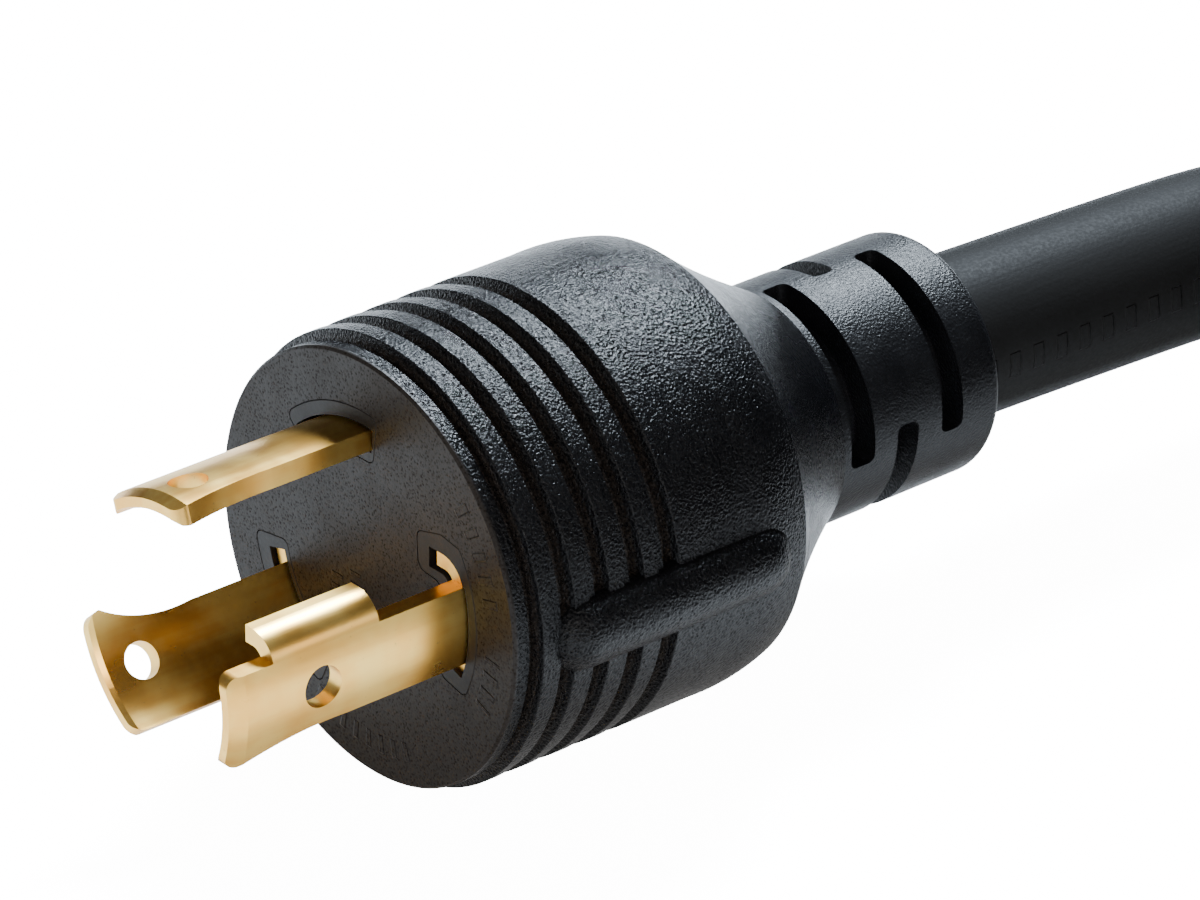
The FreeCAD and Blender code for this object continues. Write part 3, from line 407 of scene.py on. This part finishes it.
def face_marks(g, parts, radius, angle):
    """Plain raised strokes on the face, where such a plug carries its ratings."""
    marks = []
    for low, high, start, stop, pitch in FACE_ARCS:
        rim = band(g, radius, low, high, FACE_EDGE)
        arc = g.maths("MULTIPLY", rim, band(g, angle, start, stop, 0.2))
        marks.append(g.maths("MULTIPLY", arc, strokes(g, angle, pitch, 0.34, 0.25)))
    across, up = parts.outputs["Y"], parts.outputs["Z"]
    for side, low, high in FACE_ROWS:
        column = band(g, across, side - ROW_HALF, side + ROW_HALF, FACE_EDGE)
        row = g.maths("MULTIPLY", column, band(g, up, low, high, FACE_EDGE))
        marks.append(g.maths("MULTIPLY", row, strokes(g, up, ROW_PITCH, 0.4, FACE_EDGE)))
    total = marks[0]
    for mark in marks[1:]:
        total = g.maths("MAXIMUM", total, mark)
    return g.maths("MULTIPLY", total, g.ramp(parts.outputs["X"], 0.00005, 0.0002, 1.0, 0.0))


def overmould(name, end):
    """Black moulded plastic: a pebbled grip, and a finer grain on the face and the cone."""
    g = Graph(name)
    place, parts, radius, angle = around_axis(g, end)
    depth, shift = parts.outputs["X"], end["shift"]
    grip = g.ramp(depth, *GRIP_GRAIN)
    cone = g.ramp(depth, CONE_GRAIN[0] + shift, CONE_GRAIN[1] + shift)
    coarse = g.maths("MULTIPLY", g.cells(place, 3000.0, 0.45), 0.6)
    pebbles = g.maths("ADD", coarse, g.noise(place, 4400.0, 2.0, 0.55))
    rough_part = g.maths("MULTIPLY", grip, g.maths("SUBTRACT", 1.0, g.maths("MULTIPLY", cone, 0.45)))
    strength = g.maths("ADD", g.maths("MULTIPLY", rough_part, 0.86), 0.14)
    marks = g.bump(face_marks(g, parts, radius, angle), 0.00030, 1.0)
    normal = g.bump(pebbles, 0.00013, strength, marks)
    # Painted warm sheen: the groove floors get a brown tint, broken into patches, standing in for the
    # warm light they catch.
    deep = g.ramp(radius, *GROOVE_RADIUS, 1.0, 0.0)
    groove = g.maths("MULTIPLY", deep, band(g, depth, *GROOVE_DEPTH))
    patches = g.noise(place, 260.0, 3.0)
    painted_sheen = g.maths("MULTIPLY", groove, g.ramp(g.noise(place, 3400.0, 4.0, 0.65), 0.30, 0.75))
    black = g.mix(patches, rgb(0.0018, 0.0018, 0.0022), rgb(0.0030, 0.0030, 0.0036))
    grip_with_painted_sheen = g.mix(painted_sheen, black, rgb(0.026, 0.020, 0.016))
    face = g.mix(patches, rgb(0.0100, 0.0074, 0.0056), rgb(0.0140, 0.0104, 0.0080))
    rough = g.ramp(grip, 0.0, 1.0, 0.46, 0.25)
    return g.finish(
        Base_Color=g.mix(grip, face, grip_with_painted_sheen),
        Roughness=g.maths("ADD", rough, g.ramp(patches, 0.35, 0.65, -0.02, 0.04)),
        Normal=normal,
        Specular_IOR_Level=g.ramp(pebbles, 0.42, 0.88, 0.02, 0.20),
    )


def relief_material():
    g = Graph("relief")
    place = g.place()
    grain = g.maths(
        "ADD", g.noise(place, 4600.0, 2.0, 0.55), g.maths("MULTIPLY", g.cells(place, 3300.0), 0.4)
    )
    patches = g.noise(place, 300.0, 3.0)
    return g.finish(
        Base_Color=g.mix(patches, rgb(0.0036, 0.0037, 0.0044), rgb(0.0062, 0.0064, 0.0076)),
        Roughness=g.ramp(patches, 0.3, 0.7, 0.34, 0.42),
        Normal=g.bump(grain, 0.00010, 0.9),
        Specular_IOR_Level=0.2,
    )


def carrier_material():
    g = Graph("carrier")
    place = g.place()
    patches = g.noise(place, 400.0, 3.0)
    return g.finish(
        Base_Color=g.mix(patches, rgb(0.0090, 0.0075, 0.0062), rgb(0.0135, 0.0112, 0.0095)),
        Roughness=g.ramp(patches, 0.3, 0.7, 0.40, 0.48),
        Normal=g.bump(g.noise(place, 2600.0, 3.0), 0.00003, 0.5),
        Specular_IOR_Level=0.18,
    )


def brass():
    """Stamped, lightly brushed along its length, with faint blotches and a few dull specks."""
    g = Graph("brass")
    streaks = g.noise(g.place(scale=(35.0, 900.0, 900.0)), 1.0, 3.0, 0.55)
    blotches = g.noise(g.place(), 140.0, 3.0)
    fine = g.noise(g.place(scale=(420.0, 4200.0, 4200.0)), 1.0, 2.0)
    specks = g.ramp(g.noise(g.place(), 1300.0, 3.0, 0.7), 0.66, 0.74)
    tone = g.maths("ADD", g.maths("MULTIPLY", streaks, 0.25), g.maths("MULTIPLY", blotches, 0.75))
    gold = g.mix(g.ramp(tone, 0.38, 0.62), rgb(0.92, 0.49, 0.10), rgb(1.0, 0.66, 0.18))
    return g.finish(
        Base_Color=g.mix(g.maths("MULTIPLY", specks, 0.35), gold, rgb(0.42, 0.20, 0.05)),
        Metallic=1.0,
        Roughness=g.ramp(tone, 0.3, 0.7, 0.27, 0.36),
        Normal=g.bump(g.maths("ADD", streaks, g.maths("MULTIPLY", fine, 0.6)), 0.000007, 0.7),
    )


def copper():
    g = Graph("copper")
    strands = g.noise(g.place(scale=(200.0, 2500.0, 2500.0)), 1.0, 2.0)
    return g.finish(
        Base_Color=g.mix(strands, rgb(0.65, 0.27, 0.13), rgb(0.85, 0.42, 0.24)),
        Metallic=1.0,
        Roughness=0.3,
        Normal=g.bump(strands, 0.00005, 1.0),
    )


def jacket():
    """Extruded black jacket: satin, with fine lengthwise lines and plain raised strokes on it."""
    g = Graph("jacket")
    place = g.place()
    fine = g.noise(place, 2600.0, 3.0)
    broad = g.noise(place, 90.0, 2.0)
    lines = g.noise(g.place(scale=(40.0, 2200.0, 2200.0)), 1.0, 2.0)
    parts = g.node("SeparateXYZ", Vector=g.place(PRINT_AXIS))
    along, across, up = (parts.outputs[axis] for axis in "XYZ")
    facing = g.ramp(across, *PRINT_SIDE, 1.0, 0.0)
    side = g.maths("MULTIPLY", facing, band(g, up, *PRINT_HEIGHT))
    row = g.maths("MULTIPLY", side, band(g, along, *PRINT_STRETCH))
    marks = g.maths("MULTIPLY", row, strokes(g, along, PRINT_PITCH, 0.42, 0.00010))
    normal = g.bump(marks, 0.00025, 1.0)
    grain = g.maths("ADD", g.maths("MULTIPLY", fine, 0.7), g.maths("MULTIPLY", lines, 0.5))
    return g.finish(
        Base_Color=g.mix(broad, rgb(0.0105, 0.0103, 0.0102), rgb(0.0155, 0.0153, 0.0152)),
        Roughness=g.ramp(fine, 0.3, 0.7, 0.52, 0.62),
        Normal=g.bump(grain, 0.00005, 0.7, normal),
        Specular_IOR_Level=0.05,
    )


def plain(name, low, high, roughness, scale=900.0, depth=0.00002, shine=0.4):
    g = Graph(name)
    place = g.place()
    speckle = g.noise(place, scale, 3.0)
    return g.finish(
        Base_Color=g.mix(speckle, rgb(*low), rgb(*high)),
        Roughness=roughness,
        Normal=g.bump(speckle, depth, 0.6),
        Specular_IOR_Level=shine,
    )


def strap_material():
    """Woven webbing with the soft loops of a hook and loop strap."""
    g = Graph("strap")
    place = g.place()
    loops = g.cells(place, 1500.0, 0.2)
    fuzz = g.noise(place, 3000.0, 4.0, 0.7)
    height = g.maths("ADD", loops, fuzz)
    return g.finish(
        Base_Color=g.mix(fuzz, rgb(0.004, 0.004, 0.0045), rgb(0.018, 0.018, 0.020)),
        Roughness=0.9,
        Normal=g.bump(height, 0.0003, 0.8),
        Sheen_Weight=0.06,
        Specular_IOR_Level=0.15,
    )


def paint_all(cord, straps):
    paint(overmould("overmould", PLUG), "plug_body")
    paint(overmould("connector_overmould", CONNECTOR), "connector_body")
    paint(relief_material(), "plug_strain_relief", "connector_strain_relief")
    paint(
        carrier_material(),
        "blade_carrier", "connector_socket", "connector_core", "connector_webs",
    )
    metal = brass()
    paint(metal, *[n for n in nodes if n.endswith(("_blade", "_contact", "_terminal"))])
    paint(copper(), *[n for n in nodes if n.endswith("_conductor")])
    wires = {
        "hot": ((0.012, 0.012, 0.012), (0.02, 0.02, 0.02)),
        "neutral": ((0.62, 0.62, 0.60), (0.75, 0.75, 0.72)),
        "ground": ((0.02, 0.16, 0.05), (0.03, 0.24, 0.08)),
    }
    for key, (low, high) in wires.items():
        colour = plain(key + "_insulation", low, high, 0.45)
        paint(colour, f"plug_{key}_insulation", f"connector_{key}_insulation")
    filler = plain("filler", (0.45, 0.42, 0.36), (0.6, 0.56, 0.48), 0.9, 1500.0, 0.0002)
    paint(filler, "plug_cable_filler", "connector_cable_filler")
    mould = plain("inner_mould", (0.03, 0.03, 0.032), (0.045, 0.045, 0.048), 0.6)
    paint(mould, "plug_inner_mould", "connector_inner_mould")
    cover = jacket()
    paint(cover, "plug_cable_jacket", "connector_cable_jacket")
    cord.data.materials.append(cover)
    ring = plain("ring", (0.005, 0.005, 0.006), (0.009, 0.009, 0.010), 0.36, 1800.0, 0.00004, 0.2)
    paint(ring, "locking_ring")
    gasket = plain("gasket", (0.02, 0.02, 0.02), (0.03, 0.03, 0.03), 0.7)
    paint(gasket, "sealing_gasket")
    webbing = strap_material()
    for strap in straps:
        strap.data.materials.append(webbing)


# ---------------------------------------------------------------- stage and light

# What the camera sees directly is white. What lights the object is far weaker.
FLOOR_SIZE = 6.0
FLOOR_SEEN, FLOOR_GLOW = 14.0, 0.3
WORLD_SEEN, WORLD_GLOW = 14.5, 0.10
LIT_POINT = (0.0, 0.0, 0.02)
# Name, direction from the plug, distance, size, power and colour.
LIGHTS = [
    ("key", (0.57, 0.35, 0.74), 1.3, (0.36, 0.30), 64.0, (0.78, 0.89, 1.0)),
    ("left", (-0.9, 0.1, 0.45), 1.5, (0.7, 0.7), 7.0, (1.0, 0.98, 0.95)),
    ("front", (-0.45, -0.85, 0.45), 1.8, (0.8, 0.6), 13.0, (1.0, 0.97, 0.93)),
    ("side", (0.56, -0.80, 0.22), 1.5, (0.9, 0.5), 4.5, (1.0, 0.97, 0.94)),
]


def make_floor():
    mesh = bpy.data.meshes.new("floor")
    made = bmesh.new()
    bmesh.ops.create_grid(made, x_segments=1, y_segments=1, size=FLOOR_SIZE)
    made.to_mesh(mesh)
    made.free()
    floor = bpy.data.objects.new("floor", mesh)
    bpy.context.collection.objects.link(floor)
    g = Graph("floor")
    grain = g.noise(g.place(), 30.0, 3.0)
    seen = g.node("LightPath").outputs["Is Camera Ray"]
    mesh.materials.append(
        g.finish(
            Base_Color=g.mix(grain, rgb(0.88, 0.88, 0.88), rgb(0.91, 0.91, 0.91)),
            Roughness=0.9,
            Emission_Color=rgb(1.0, 1.0, 1.0),
            Emission_Strength=g.maths("ADD", g.maths("MULTIPLY", seen, FLOOR_SEEN), FLOOR_GLOW),
        )
    )


def area_light(name, direction, distance, size, power, colour):
    """A soft box that shines on the plug from a direction."""
    data = bpy.data.lights.new(name, "AREA")
    data.shape = "RECTANGLE"
    data.size, data.size_y = size
    data.energy = power
    data.color = colour
    light = bpy.data.objects.new(name, data)
    bpy.context.collection.objects.link(light)
    toward = Vector(direction).normalized()
    light.location = Vector(LIT_POINT) + toward * distance
    light.rotation_euler = toward.to_track_quat("Z", "Y").to_euler()


def make_light():
    world = bpy.data.worlds.new("studio")
    world.use_nodes = True
    tree = world.node_tree
    seen = tree.nodes.new("ShaderNodeLightPath").outputs["Is Camera Ray"]
    strength = tree.nodes.new("ShaderNodeMapRange")
    tree.links.new(seen, strength.inputs["Value"])
    strength.inputs["To Min"].default_value = WORLD_GLOW
    strength.inputs["To Max"].default_value = WORLD_SEEN
    background = tree.nodes["Background"]
    background.inputs["Color"].default_value = (0.97, 0.985, 1.0, 1.0)
    tree.links.new(strength.outputs["Result"], background.inputs["Strength"])
    bpy.context.scene.world = world
    for light in LIGHTS:
        area_light(*light)


make_camera()
straps = [make_strap("strap_1", -21.5), make_strap("strap_2", 166.5)]
cord = make_cord()
paint_all(cord, straps)
make_floor()
make_light()

bpy.context.view_layer.update()
